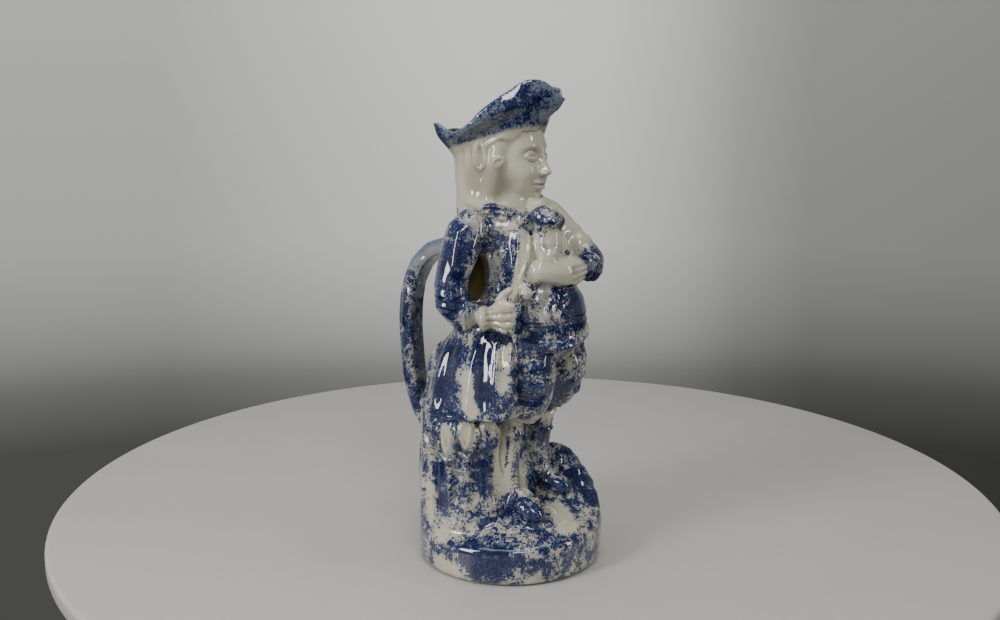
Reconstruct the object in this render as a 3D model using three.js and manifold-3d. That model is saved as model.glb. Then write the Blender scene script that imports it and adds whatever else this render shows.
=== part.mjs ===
// A standing toby jug in glazed earthenware: a stout man in a tricorn hat on a rock mound, a foaming mug in
// his left hand and a clay pipe in his right, with a strap handle down his back. The hat is the mouth of the
// jug, and the hollow runs down through the neck and the coat to a floor just above the foot.
// Millimetres, +Z up. The man faces -Y, so his right hand is on -X. The origin is the underside's middle.
import * as THREE from "three";
import { mergeVertices } from "three/addons/utils/BufferGeometryUtils.js";
import Module from "manifold-3d";

const wasm = await Module();
wasm.setup();

// ---- driving dimensions ---------------------------------------------------------------------------------
const FOOT_RADIUS = 55.5; // the round foot
const FLOOR = 9; // thickness of the clay under the hollow
const HEM = 94; // height of the coat's hem
const WAIST = 138; // height of the waist, where the coat's skirt begins
const NECK = 210; // height of the collar
const HAT_SEAT = 251; // height of the hat's lower edge over the middle of the head
const HAT_TILT = 0.27; // rise of the hat's lower edge for each millimetre towards the face
const HEAD_BACK = 8; // how far the middle of the head stands behind the middle of the foot
const BRIM_WALL = 4.2; // thickness of the turned-up brim
const FAR_PEAK = 4; // how much lower the brim's front peak is on the left side
const FACE_MIDDLE = 237; // height of the middle of the face
const STRAP_WIDTH = 17; // the handle, across
const STRAP_DEPTH = 11; // the handle, front to back
const FINGER = { around: 6, steps: 4 }; // facets of a finger, thumb or other thin limb
const BAND = { around: 10, steps: 3, ends: 0.15 }; // facets of a cuff or frill, with nearly square ends

// ---- form making ----------------------------------------------------------------------------------------
const { clamp, degToRad, lerp, radToDeg, smoothstep } = THREE.MathUtils;
const at = (x, y, z) => new THREE.Vector3(x, y, z);

// The closed solid of a geometry whose shared vertices are merged.
function solid(geometry) {
  const bare = geometry.clone();
  bare.deleteAttribute("normal");
  bare.deleteAttribute("uv");
  const merged = mergeVertices(bare, 1e-4);
  return new wasm.Manifold(
    new wasm.Mesh({
      numProp: 3,
      vertProperties: merged.attributes.position.array,
      triVerts: new Uint32Array(merged.index.array),
    }),
  );
}

// A geometry about the Y axis with every vertex moved by shape(x, up, z), which returns its place with Z up.
function reshaped(geometry, shape) {
  const points = geometry.attributes.position;
  for (let i = 0; i < points.count; i++) {
    const p = shape(points.getX(i), points.getY(i), points.getZ(i));
    points.setXYZ(i, p.x, p.y, p.z);
  }
  return solid(geometry);
}

// A smooth reading of a table whose first column is the height or the share of the way along.
function reader(table) {
  const width = table[0].length - 1;
  const heights = table.map((row) => row[0]);
  const values = table.flatMap((row) => row.slice(1));
  const curve = new THREE.CubicInterpolant(heights, values, width);
  return (s) => Array.from(curve.evaluate(s));
}

// An upright form. The table's rows are [height, centre y, half width, half depth]. square above 2 makes its
// plan boxier, and relief(angle, height) pushes its skin out; angle 0 is +X and a quarter turn is +Y.
function column(table, { around = 40, rows = 12, square = 2, relief = () => 0 } = {}) {
  const read = reader(table);
  const low = table[0][0];
  const high = table.at(-1)[0];
  return reshaped(new THREE.CylinderGeometry(1, 1, 1, around, rows), (x, up, z) => {
    const height = lerp(low, high, up + 0.5);
    const [middle, halfWidth, halfDepth] = read(height);
    const reach = Math.hypot(x, z);
    if (reach < 0.5) return at(0, middle, height);
    const angle = Math.atan2(-z, x);
    const [c, s] = [Math.cos(angle), Math.sin(angle)];
    const round = (Math.abs(c) ** square + Math.abs(s) ** square) ** (-1 / square);
    const out = relief(angle, height);
    return at(c * (halfWidth * round + out), middle + s * (halfDepth * round + out), height);
  });
}

// A limb about a smooth curve through joints given as [x, y, z, radius]. Its ends round off over a share of the
// radius, and flat squeezes it along side.
function limb(joints, { around = 10, steps = 8, ends = 1, flat = 1, side = at(0, 0, 1) } = {}) {
  const fine = 96;
  const curve = new THREE.CatmullRomCurve3(joints.map(([x, y, z]) => at(x, y, z)));
  const frames = curve.computeFrenetFrames(fine);
  const radii = reader(joints.map((joint, i) => [i / (joints.length - 1), joint[3]]));
  const length = curve.getLength();
  return reshaped(new THREE.SphereGeometry(1, around, steps), (x, up, z) => {
    const share = Math.acos(clamp(up, -1, 1)) / Math.PI;
    const along = clamp(lerp(share, (1 - Math.cos(share * Math.PI)) / 2, 0.5), 0, 1);
    const [radius] = radii(along);
    const cap = Math.min(1, (Math.min(along, 1 - along) * length) / (radius * ends));
    const reach = radius * Math.sqrt(1 - (1 - cap) ** 2);
    const angle = Math.hypot(x, z) > 1e-6 ? Math.atan2(z, x) : 0;
    const frame = Math.round(along * fine);
    const offset = at(0, 0, 0)
      .addScaledVector(frames.normals[frame], Math.cos(angle) * reach)
      .addScaledVector(frames.binormals[frame], Math.sin(angle) * reach);
    return curve.getPointAt(along).add(offset).addScaledVector(side, offset.dot(side) * (flat - 1));
  });
}

// An egg of half sizes [x, y, z], turned by degrees about Z, then X.
function egg(centre, half, { around = 12, rows = 8, spin = 0, tip = 0 } = {}) {
  const turn = new THREE.Euler(degToRad(tip), 0, degToRad(spin), "ZXY");
  return reshaped(new THREE.SphereGeometry(1, around, rows), (x, up, z) =>
    at(x * half[0], -z * half[1], up * half[2]).applyEuler(turn).add(at(...centre)),
  );
}

// A turned form: [radius, height] pairs from the axis and back to it, about an upright axis at x, y.
function turned(profile, x, y, around = 20, shape = (p) => p) {
  const outline = profile.map(([radius, height]) => new THREE.Vector2(radius, height));
  return reshaped(new THREE.LatheGeometry(outline, around), (px, up, pz) =>
    shape(at(x + px, y - pz, up)),
  );
}

function block(low, high) {
  const size = high.map((v, i) => v - low[i]);
  const middle = high.map((v, i) => (v + low[i]) / 2);
  return solid(new THREE.BoxGeometry(...size).translate(...middle));
}

const join = (...forms) => forms.flat().reduce((whole, form) => whole.add(form));

// A smooth hump that is 1 at the middle and 0 a spread away.
const hump = (value, middle, spread) => Math.exp(-(((value - middle) / spread) ** 2));

// ---- the mound and the rock behind the legs -------------------------------------------------------------
// The ground falls towards his right foot and rises to a boulder beyond his left.
function ground(x, y) {
  const crown = 36.5 - 8 * smoothstep(Math.hypot(x, y), 26, 50);
  const boulder = 29 * Math.exp(-(((x - 38) / 17) ** 2) - ((y + 14) / 26) ** 2);
  return crown + 0.08 * x + boulder;
}

function mound() {
  const rim = 22;
  const profile = [
    [0, 0], [52, 0], [54.7, 1.4], [FOOT_RADIUS, 7], [FOOT_RADIUS, 15], [54.6, rim],
    [51, 26.5], [45, 29.5], [35, 32], [24, 35], [0, 36],
  ];
  return turned(profile, 0, 0, 30, (p) => {
    const angle = Math.atan2(p.y, p.x);
    const rough = 1 + 0.01 * Math.sin(5 * angle + 1) * smoothstep(p.z, 3, 14);
    const raised = ground(p.x, p.y) - 3 * smoothstep(Math.hypot(p.x, p.y), 46, 54);
    return at(p.x * rough, p.y * rough, lerp(p.z, raised, smoothstep(p.z, 5, rim + 3)));
  });
}

// A stump of rock stands behind the legs and carries the coat, with a root down its back under the handle.
function rock() {
  const table = [
    [0.5, 14, 47, 38],
    [30, 17.5, 46.5, 34],
    [60, 20, 45.5, 30.5],
    [HEM + 4, 20, 43, 30],
  ];
  const flutes = (angle, z) =>
    (0.8 * Math.sin(15 * angle) + 0.7 * Math.sin(24 * angle + z / 14)) * smoothstep(z, 24, 50);
  const stump = column(table, { around: 32, rows: 3, square: 2.5, relief: flutes });
  const root = limb([[0, 46, 15, 8.5], [0, 47, 40, 9], [0, 48, 64, 9.5], [0, 48.5, HEM + 3, 10]], {
    around: 8,
    steps: 5,
  });
  return [stump, root];
}

// Round-ended lappets hang from under the hem on both flanks, [angle in degrees, half width, length].
function lappets() {
  const row = [
    [160, 7, 19],
    [181, 6.6, 25],
    [199, 6.6, 22],
    [219, 6.6, 20],
  ];
  const made = [];
  for (const mirror of [false, true]) {
    for (const [degrees, half, length] of row) {
      const angle = degToRad(mirror ? 180 - degrees : degrees);
      const centre = [45 * Math.cos(angle), 16 + 34 * Math.sin(angle), HEM + 1 - length / 2];
      const spin = radToDeg(angle) - 90;
      made.push(egg(centre, [half, 2.6, length * 0.6], { around: 8, rows: 4, spin }));
    }
  }
  return made;
}

// ---- the coat, the waistcoat and the breeches -----------------------------------------------------------
function coatSkirt() {
  const table = [
    [HEM, 3.5, 47.5, 48.5],
    [98, 3.5, 46, 47],
    [110, 4, 44, 46.5],
    [122, 4, 41.5, 45],
    [130, 3, 38.5, 40.5],
    [WAIST, 0.5, 34, 34.5],
    [147, 0, 31, 30],
  ];
  const pleats = (angle, z) => {
    const open = smoothstep(WAIST + 4 - z, 0, 40);
    return open * (1.9 * Math.cos(12 * angle) + 0.6 * Math.cos(7 * angle + 1));
  };
  const skirt = column(table, { around: 48, rows: 5, relief: pleats });
  // The fronts hang open over the breeches, a little wider apart at the hem.
  const opening = limb([[0, -52, 60, 44], [0, -52, 105, 42], [0, -52, 150, 34]], { around: 12, steps: 4 });
  return skirt.subtract(block([-80, -80, 60], [80, -21, 160])).subtract(opening);
}

// The turned-in front edges of the skirt, from the waist to the hem.
function coatEdges() {
  return [-1, 1].map((side) =>
    limb([[side * 31, -18, 142, 3], [side * 35, -19, 120, 3.2], [side * 37, -19, HEM + 7, 4]], {
      around: 6,
      steps: 4,
    }),
  );
}

function torso() {
  const table = [
    [132, -1, 33, 32],
    [145, -1, 31, 30],
    [160, 0, 29, 28.5],
    [178, 1, 29, 26.5],
    [194, 2, 31, 24.5],
    [204, 3.5, 30, 22.5],
    [NECK + 2, 5, 26, 21],
    [NECK + 9, 7, 21, 19.5],
  ];
  return column(table, { around: 16, rows: 5, square: 2.25 });
}

// The coat's back is broader than the chest and reaches out to both sleeves.
function coatBack() {
  const table = [
    [130, 5, 30, 26],
    [148, 9, 33.5, 21],
    [165, 13, 38, 17],
    [182, 14, 39, 16],
    [198, 13, 36, 15.5],
    [209, 13, 28, 14],
    [215, 13, 20, 12],
  ];
  return column(table, { around: 16, rows: 5, square: 2.4 });
}

// The coat's fronts lie over the waistcoat from the shoulders to the waist, with a turned-back collar above.
function coatFronts() {
  const fronts = [-1, 1].map((side) =>
    limb(
      [
        [side * 18, -12, 206, 5], [side * 20, -18, 190, 7], [side * 22, -20, 170, 7.5],
        [side * 25, -18, 148, 7],
      ],
      { around: 8, steps: 8, flat: 0.75 },
    ),
  );
  const collar = limb(
    [
      [-7, -18, 202, 2.6], [-17, -13, 209, 3.2], [-25, 3, 213, 3.4], [-19, 21, 216, 3.4], [0, 28, 217, 3.4],
      [19, 21, 216, 3.4], [25, 3, 213, 3.4], [17, -13, 209, 3.2], [7, -18, 202, 2.6],
    ],
    { around: 6, steps: 12 },
  );
  return [...fronts, collar];
}

function waistcoat() {
  const belly = egg([0, -11.5, 149], [31, 36.5, 31], { around: 16, rows: 8 });
  const chest = egg([0, -5, 184], [24, 24, 27], { around: 10, rows: 5 });
  const hem = limb(
    [[-27, -31, 137, 3], [-16, -42, 134, 3.4], [0, -46, 137, 3], [15, -42, 140, 3.4], [27, -31, 146, 3]],
    { around: 6, steps: 8 },
  );
  return [belly, chest, hem];
}

function breeches() {
  return [
    [[-12, -14, 146, 17], [-14, -21, 122, 16.5], [-15, -20, 102, 15], [-15, -14, 87, 10.5]],
    [[14, -18, 146, 17], [15, -26, 124, 16.5], [15, -25, 109, 15], [11, -18, 91, 10.5]],
  ].map((thigh) => limb(thigh, { around: 9, steps: 6 }));
}

// ---- the legs and the buckled shoes ---------------------------------------------------------------------
function legs() {
  return [
    [[-14, -11, 98, 9], [-16.5, -8.5, 76, 8.2], [-17, -8, 58, 6.8], [-17.5, -9, 40, 6.8]],
    [[11, -17, 98, 9], [10, -14, 76, 8.4], [9.5, -14, 60, 6.8], [9, -15, 44, 6.8]],
  ].map((leg) => limb(leg, { around: 9, steps: 6 }));
}

function shoes() {
  const pair = [
    { heel: [-17.5, -9], toe: [-22.5, -34] },
    { heel: [9, -14], toe: [14, -34] },
  ];
  return pair.flatMap(({ heel, toe }) => {
    const rise = (share) => ground(lerp(heel[0], toe[0], share), lerp(heel[1], toe[1], share));
    const place = (share, lift, radius) => [
      lerp(heel[0], toe[0], share), lerp(heel[1], toe[1], share), rise(share) + lift, radius,
    ];
    const upper = limb([place(0, 5, 7.4), place(0.35, 6, 8), place(0.7, 3.5, 8), place(1, 1.5, 6)], {
      around: 10,
      steps: 7,
      flat: 0.8,
    });
    const buckle = egg(place(0.42, 12.5, 0).slice(0, 3), [4.2, 3.4, 2], { around: 8, rows: 3, tip: 25 });
    return [upper, buckle];
  });
}

// ---- the arms and the hands -----------------------------------------------------------------------------
// The right arm hangs to a bent elbow and comes forward to a fist on the edge of the coat.
function rightArm() {
  const sleeve = limb(
    [
      [-25, 7, 208, 9], [-35, 8, 201, 11.5], [-41, 10, 186, 11.5], [-45.5, 13, 168, 10], [-46, 9.5, 155, 10],
      [-44.5, 1, 151.5, 9],
    ],
    { around: 9, steps: 8 },
  );
  const cuff = limb([[-45.6, 5, 153, 9.4], [-44, -3.5, 152, 9.8]], BAND);
  const frill = limb([[-44, -3, 152, 7.6], [-41, -10.5, 152.5, 8.8]], BAND);
  const palm = egg([-38, -14.5, 153], [6.5, 8, 10], { around: 8, rows: 5, spin: -20 });
  const fingers = [0, 1, 2, 3].map((n) => {
    const z = 160 - 4.5 * n;
    return limb([[-42.5, -15.5, z, 2.8], [-38.5, -22, z - 0.4, 2.9], [-32.5, -23, z - 0.8, 2.4]], FINGER);
  });
  const thumb = limb([[-41, -13.5, 160, 3], [-38, -18, 167, 3], [-33.5, -22, 169.5, 2.6]], FINGER);
  return [sleeve, cuff, frill, palm, ...fingers, thumb];
}

// The deep hollow in the crook of the right arm.
function crook() {
  return egg([-32, 7.5, 173], [7, 9.5, 14], { around: 12, rows: 7, spin: -12 });
}

// The left arm comes forward from the shoulder and lies across the belly, its hand round the mug.
function leftArm() {
  const sleeve = limb(
    [
      [24, 1, 211, 9.5], [32, -6, 205, 10.5], [36, -19, 191.5, 10], [35.5, -32, 180, 10],
      [29, -38.5, 176, 9.6], [20, -40, 176, 9],
    ],
    { around: 9, steps: 8 },
  );
  const cuff = limb([[24, -39.5, 176, 9.4], [17.5, -40.5, 176.3, 10]], BAND);
  const frill = limb([[18, -40.5, 176.3, 7.4], [12.5, -41, 176.8, 8.6]], BAND);
  const palm = limb(
    [[13, -40, 177, 7], [2, -40, 176, 8.8], [-9, -36.5, 176, 9.2], [-18, -30, 177, 8.5], [-23, -24, 178, 6]],
    { around: 10, steps: 6 },
  );
  const thumb = limb(
    [[-21, -30, 181, 4.5], [-18, -33.5, 186, 4], [-13, -38, 188, 3.2]],
    { around: 7, steps: 4 },
  );
  const fingers = [0, 1, 2, 3].map((n) => {
    const z = 186 - 4.3 * n;
    return limb([[3, -33, z, 2.6], [1, -38.5, z, 2.7], [-5, -42, z - 0.3, 2.4]], FINGER);
  });
  return [sleeve, cuff, frill, palm, thumb, ...fingers];
}

// ---- the mug and the pipe -------------------------------------------------------------------------------
function mug() {
  const [x, y] = [-11, -30];
  const body = turned(
    [
      [0, 178], [6.5, 178], [7.4, 181], [8.6, 187], [8.9, 193], [8, 199], [8.2, 203], [9, 204.5], [8.6, 206],
      [0, 206],
    ],
    x, y, 12,
  );
  const foam = [
    egg([x, y + 2, 207.5], [10.5, 9.5, 7], { around: 10, rows: 4 }),
    egg([x - 5, y - 3, 205.5], [6.5, 6, 5], { around: 8, rows: 4 }),
    egg([x + 5, y - 3, 205], [6, 6, 5], { around: 8, rows: 4 }),
  ];
  return [body, ...foam];
}

function pipe() {
  const stem = limb(
    [[-36.5, -22.5, 132, 1.8], [-36.5, -24, 148, 1.9], [-35, -25, 160, 2], [-33.5, -25.5, 165, 2.4]],
    FINGER,
  );
  const bowl = limb(
    [[-33, -26, 161.5, 3.6], [-31.5, -27, 166, 4.6], [-30, -27.5, 171, 4.4]],
    { around: 8, steps: 5 },
  );
  return [stem, bowl];
}

// ---- the head and the hat -------------------------------------------------------------------------------
// The face's forward relief at a place across and up from its middle.
function features(across, up) {
  const wide = Math.abs(across);
  const nose =
    up > -7.5
      ? lerp(1, 6.2, smoothstep(-up, -9, 5)) * hump(across, 0, lerp(2.4, 4, smoothstep(-up, -6, 6)))
      : 6.2 * smoothstep(up, -11, -7) * hump(across, 0, 4);
  const brow = 1.6 * hump(up, 8.5, 2.6) * hump(wide, 7, 7);
  const sockets = -2.6 * hump(up, 3.6, 3.4) * hump(wide, 7.6, 4.4);
  const lids = 1.7 * hump(up, 3, 1.9) * hump(wide, 7.6, 3);
  const cheeks = 1.8 * hump(up, -6, 6) * hump(wide, 10.5, 5.5);
  const lips = 1.9 * (hump(up, -11.6, 1.3) + hump(up, -14.8, 1.4)) * hump(across, 0, 4.8);
  const chin = 2.6 * hump(up, -21, 4) * hump(across, 0, 6);
  const dip = -1.2 * hump(up, -17.5, 1.4) * hump(across, 0, 6);
  return nose + brow + sockets + lids + cheeks + lips + chin + dip;
}

function face() {
  return reshaped(new THREE.SphereGeometry(1, 18, 16), (x, up, z) => {
    const front = smoothstep(z, 0.1, 0.6);
    const across = x * 20;
    const height = up * 26;
    const jaw = 1 - 0.2 * smoothstep(-up, 0.3, 1);
    return at(across * jaw, -1 - 19.5 * z - front * features(across * jaw, height), FACE_MIDDLE + height);
  });
}

// Hair falls straight to the collar all round the back, in shallow locks.
function hair() {
  const locks = (angle, z) => 0.9 * Math.cos(14 * angle + 0.06 * (z - 230)) * smoothstep(256 - z, 0, 12);
  const back = column(
    [
      [203, 12, 22.5, 21],
      [214, 10.5, 23.5, 23],
      [228, 10, 24, 24.5],
      [242, 9.5, 24.5, 25],
      [254, HEAD_BACK + 1, 25, 26.5],
      [262, HEAD_BACK, 26, 28],
    ],
    { around: 24, rows: 4, relief: locks },
  );
  const underHat = solid(
    new THREE.BoxGeometry(90, 90, 40)
      .rotateX(-Math.atan(HAT_TILT))
      .translate(0, HEAD_BACK, HAT_SEAT + 23.5),
  );
  const side = [-1, 1].map((hand) =>
    limb(
      [[hand * 19, -4, 251, 4], [hand * 20, -2, 240, 5], [hand * 20, 0, 228, 5.6], [hand * 19.5, 3, 214, 6]],
      { around: 8, steps: 7 },
    ),
  );
  return [back.subtract(underHat), ...side];
}

function neckcloth() {
  return [
    column([[196, 0, 15, 17], [206, -1, 14, 16], [216, 0, 12.5, 14]], { around: 16, rows: 3 }),
    limb([[-15, -8, 210, 4.5], [0, -16, 207, 5], [15, -8, 210, 4.5]], { around: 8, steps: 6 }),
    limb([[0, -20, 208, 3], [-1.5, -23, 201, 4], [-1, -25.5, 190, 3]], { around: 8, steps: 6 }),
    egg([0, -17, 211], [9, 9, 7], { around: 9, rows: 4 }),
  ];
}

// The brim's rim all round: the angle in degrees from the face, the rim's height above the hat's seat and its
// reach from the middle of the head. The corners are over the face and behind each ear.
const BRIM = reader([
  [0, 21, 44],
  [5, 26, 41.5],
  [11, 30.5, 38],
  [21, 33, 34.5],
  [34, 31.8, 31.5],
  [50, 26.4, 32],
  [70, 18.5, 34],
  [90, 8, 35],
  [105, 3.5, 35],
  [118, 2.5, 34],
  [130, 4.5, 34.5],
  [139, 9, 39.5],
  [148, 3.5, 34.5],
  [164, 4.5, 33],
  [180, 5, 32.5],
]);

// The brim between two shares of its height, drawn in all round by inset.
function brim(low, high, inset) {
  return reshaped(new THREE.CylinderGeometry(1, 1, 1, 36, 3), (x, up, z) => {
    const share = lerp(low, high, up + 0.5);
    if (Math.hypot(x, z) < 0.5) return at(0, HEAD_BACK, HAT_SEAT + share * 14);
    const angle = Math.atan2(-z, x);
    const fromFace = radToDeg(Math.abs(Math.atan2(Math.cos(angle), -Math.sin(angle))));
    const [c, s] = [Math.cos(angle), Math.sin(angle)];
    const [peak, rim] = BRIM(fromFace);
    const height = peak - FAR_PEAK * clamp(6 * c, 0, 1) * hump(fromFace, 22, 16);
    const foot = Math.hypot(26 * c, 28 * s);
    const belly = 3 * Math.sin(Math.PI * clamp(share, 0, 1));
    const reach = lerp(foot, rim, share) + belly - inset;
    const seat = HAT_SEAT - HAT_TILT * s * foot - 3.5 * hump(fromFace, 132, 26);
    return at(c * reach, HEAD_BACK + s * reach, lerp(seat, HAT_SEAT + height, share));
  });
}

const hat = () => brim(-0.3, 1, 0);
const basin = () => brim(0.05, 1.5, BRIM_WALL);

// ---- the handle -----------------------------------------------------------------------------------------
// A bevelled strap from between the shoulders to the seat of the coat.
function handle() {
  const path = new THREE.CatmullRomCurve3(
    [
      [20, 182], [38, 186.5], [50, 185], [59, 179.5], [65.5, 170], [70.3, 157], [72, 143], [71.8, 126],
      [70, 107], [67, 89], [61.5, 75], [48, 66],
    ].map(([y, z]) => at(0, y, z)),
  );
  const [w, d] = [STRAP_WIDTH / 2, STRAP_DEPTH / 2];
  // Flat towards the hand's palm and bevelled on the outside.
  const section = new THREE.Shape(
    [
      [-w + 2, -d], [w - 2, -d], [w, -d + 2], [w, d - 5], [w - 5, d], [-w + 5, d], [-w, d - 5], [-w, -d + 2],
    ].map(([across, out]) => new THREE.Vector2(across, out)),
  );
  return solid(new THREE.ExtrudeGeometry(section, { steps: 14, extrudePath: path }));
}

// ---- the hollow -----------------------------------------------------------------------------------------
function hollow() {
  return column(
    [
      [FLOOR, 8, 36, 36],
      [16, 9, 38, 37],
      [30, 14, 39.5, 29],
      [60, 20, 38.5, 24],
      [90, 19.5, 37, 24.5],
      [110, 19.5, 34.5, 22.5],
      [120, 12.5, 31, 25.5],
      [129, 4, 28.5, 29.5],
      [145, -3, 24, 30],
      [165, -1, 20, 25],
      [188, 2, 20, 19.5],
      [200, 5, 19.5, 17],
      [212, 8, 17, 16.5],
      [230, 9.5, 17, 18],
      [246, 9, 19, 20.5],
      [258, HEAD_BACK, 21.5, 23.5],
      [268, HEAD_BACK, 21.5, 23.5],
    ],
    { around: 16, rows: 12, square: 2.2 },
  );
}

// ---- the jug --------------------------------------------------------------------------------------------
function jug() {
  const figure = join(
    mound(), rock(), lappets(), coatSkirt(), coatEdges(), torso(), coatBack(), coatFronts(), waistcoat(),
    breeches(), legs(), shoes(), rightArm(), leftArm(), mug(), pipe(), neckcloth(), face(), hair(), handle(),
    hat(),
  );
  return figure.subtract(crook()).subtract(basin()).subtract(hollow());
}

// A solid's vertices and triangles as a three.js geometry.
function geometryOf(made) {
  const mesh = made.getMesh();
  const geometry = new THREE.BufferGeometry();
  geometry.setAttribute("position", new THREE.BufferAttribute(Float32Array.from(mesh.vertProperties), 3));
  geometry.setIndex(new THREE.BufferAttribute(Uint32Array.from(mesh.triVerts), 1));
  geometry.computeVertexNormals();
  return geometry;
}

const glaze = new THREE.MeshStandardMaterial({ color: 0x7f8aa3, roughness: 0.12, metalness: 0 });

const tobyJug = new THREE.Mesh(geometryOf(jug()), glaze);
tobyJug.name = "toby_jug";

const model = new THREE.Group();
model.add(tobyJug);

export default model;
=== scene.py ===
"""A sponged earthenware toby jug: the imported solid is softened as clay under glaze, its carving is cut and
raised, and the cobalt sponging is dabbed on, over the fixed frame that the part was packed with."""

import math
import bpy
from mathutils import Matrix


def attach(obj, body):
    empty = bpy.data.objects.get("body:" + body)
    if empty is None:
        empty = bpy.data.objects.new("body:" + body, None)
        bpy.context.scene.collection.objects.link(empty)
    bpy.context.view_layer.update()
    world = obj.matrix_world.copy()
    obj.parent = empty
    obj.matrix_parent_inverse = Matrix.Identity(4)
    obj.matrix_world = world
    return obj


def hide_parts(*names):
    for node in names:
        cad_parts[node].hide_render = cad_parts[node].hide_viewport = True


bl_info = {
    "name": "Toby jug",
    "version": (1, 0, 0),
    "blender": (4, 5, 0),
    "location": "3D View > Sidebar > Toby jug",
    "description": "Sculpts and glazes a sponged earthenware toby jug over its packed solid",
    "category": "Object",
}

import bpy
import numpy as np
from mathutils import Vector

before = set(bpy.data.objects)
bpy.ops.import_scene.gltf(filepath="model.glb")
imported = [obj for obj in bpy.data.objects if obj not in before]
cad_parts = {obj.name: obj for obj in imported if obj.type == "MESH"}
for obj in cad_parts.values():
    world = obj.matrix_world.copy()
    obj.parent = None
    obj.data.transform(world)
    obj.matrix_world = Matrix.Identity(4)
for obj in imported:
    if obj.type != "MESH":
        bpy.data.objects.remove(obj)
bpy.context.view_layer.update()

MM = 0.001
NODE = "toby_jug"
PIECE = "glazed_toby_jug"
GLAZE = "sponged_cobalt_glaze"
# names of the vertex values: the cobalt, the thin blue wash, and the painted shade that darkens hollows and
# recesses
COBALT, MIST, PAINTED_SHADE = "cobalt", "blue_mist", "painted_shade"
SOFTENING_ROUNDS, SETTLING_ROUNDS, HOLLOW_ROUNDS = 26, 3, 8  # evening out: facets, the result, and hollows
SKIRT_FOLDS, SKIRT_START, SKIRT_STEP = 29, 63, 8.35  # folds of the coat's skirt, and degrees round it
TABLE_THICK, TABLE_ASIDE = 12, 13  # thickness of the table, and how far right its middle stands
LENS, SENSOR = 37.7, 36


# ---------------------------------------------------------------- sizes and colours


class JugSizes(bpy.types.PropertyGroup):
    clay_grain: bpy.props.FloatProperty(
        name="Clay grain", description="Size of the cells that the clay is modelled in",
        default=1.0 * MM, min=0.5 * MM, max=3 * MM, unit="LENGTH", precision=4)
    soften: bpy.props.FloatProperty(
        name="Softening", description="How far the flat facets of the solid may move as they are rounded",
        default=0.8 * MM, min=0, max=2 * MM, unit="LENGTH", precision=4)
    relief: bpy.props.FloatProperty(
        name="Relief", description="Height of the carving, as a share of its usual height",
        default=1.0, min=0, max=2, subtype="FACTOR")
    triangles: bpy.props.IntProperty(
        name="Triangles", description="Most triangles that the finished jug may have",
        default=192000, min=20000, max=198000)


class GlazeColours(bpy.types.PropertyGroup):
    cream: bpy.props.FloatVectorProperty(
        name="Cream glaze", description="Colour of the bare glazed clay",
        subtype="COLOR", size=3, default=(0.49, 0.455, 0.35), min=0, max=1)
    # painted shade: the dark brown that stands in for the shade in hollows and recesses
    shade_colour: bpy.props.FloatVectorProperty(
        name="Painted shade", description="Colour painted into the hollows and recesses as their shade",
        subtype="COLOR", size=3, default=(0.10, 0.076, 0.026), min=0, max=1)
    wash: bpy.props.FloatVectorProperty(
        name="Blue wash", description="Colour of the thin cobalt between the dabs",
        subtype="COLOR", size=3, default=(0.085, 0.113, 0.165), min=0, max=1)
    cobalt: bpy.props.FloatVectorProperty(
        name="Cobalt", description="Colour of the sponged cobalt",
        subtype="COLOR", size=3, default=(0.015, 0.028, 0.100), min=0, max=1)
    navy: bpy.props.FloatVectorProperty(
        name="Navy specks", description="Colour of the thickest cobalt",
        subtype="COLOR", size=3, default=(0.003, 0.004, 0.032), min=0, max=1)
    gloss: bpy.props.FloatProperty(
        name="Glaze roughness", description="Roughness of the glaze, from a mirror at 0",
        default=0.07, min=0, max=1, subtype="FACTOR")


class StageSizes(bpy.types.PropertyGroup):
    distance: bpy.props.FloatProperty(
        name="Camera distance", description="From the jug's axis to the camera, along the ground",
        default=610 * MM, unit="LENGTH")
    height: bpy.props.FloatProperty(
        name="Camera height", description="Height of the camera above the table",
        default=257.5 * MM, unit="LENGTH")
    aside: bpy.props.FloatProperty(
        name="Camera offset", description="How far right of the line to the jug's axis the camera stands",
        default=-6.3 * MM, unit="LENGTH")
    azimuth: bpy.props.FloatProperty(
        name="Camera azimuth", description="Angle of the camera round the jug from its front",
        default=math.radians(-60), subtype="ANGLE")
    pitch: bpy.props.FloatProperty(
        name="Camera pitch", description="Angle that the camera looks down by",
        default=math.radians(10), subtype="ANGLE")
    table: bpy.props.FloatProperty(
        name="Table radius", description="Radius of the round table top",
        default=326 * MM, unit="LENGTH")
    table_back: bpy.props.FloatProperty(
        name="Table set back", description="How far behind the jug the middle of the table stands",
        default=127 * MM, unit="LENGTH")


# ---------------------------------------------------------------- working on a mesh


def points(*millimetres):
    """Places on the jug in metres, from millimetres."""
    return np.array(millimetres, float).reshape(-1, 3) * MM


def places(mesh):
    """Every vertex of a mesh, one row each."""
    flat = np.empty(len(mesh.vertices) * 3, np.float32)
    mesh.vertices.foreach_get("co", flat)
    return flat.reshape(-1, 3).astype(float)


def put_places(mesh, found):
    mesh.vertices.foreach_set("co", found.astype(np.float32).ravel())
    mesh.update()


def outward(mesh):
    """The smooth normal at every vertex."""
    flat = np.empty(len(mesh.vertices) * 3, np.float32)
    mesh.vertex_normals.foreach_get("vector", flat)
    return flat.reshape(-1, 3).astype(float)


def neighbours(mesh):
    """The two ends of every edge."""
    flat = np.empty(len(mesh.edges) * 2, np.int32)
    mesh.edges.foreach_get("vertices", flat)
    return flat.reshape(-1, 2)


def average(values, pairs, count):
    """The mean of each vertex's neighbours."""
    first, second = pairs[:, 0], pairs[:, 1]
    total = [
        np.bincount(first, column[second], len(values)) + np.bincount(second, column[first], len(values))
        for column in values.T
    ]
    return np.stack(total, 1) / count[:, None]


def relaxed(values, pairs, rounds, share=0.5):
    """Values evened out over the surface, a little each round."""
    count = np.maximum(np.bincount(pairs.ravel(), minlength=len(values)), 1)
    for _ in range(rounds):
        values = values + share * (average(values, pairs, count) - values)
    return values


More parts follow.
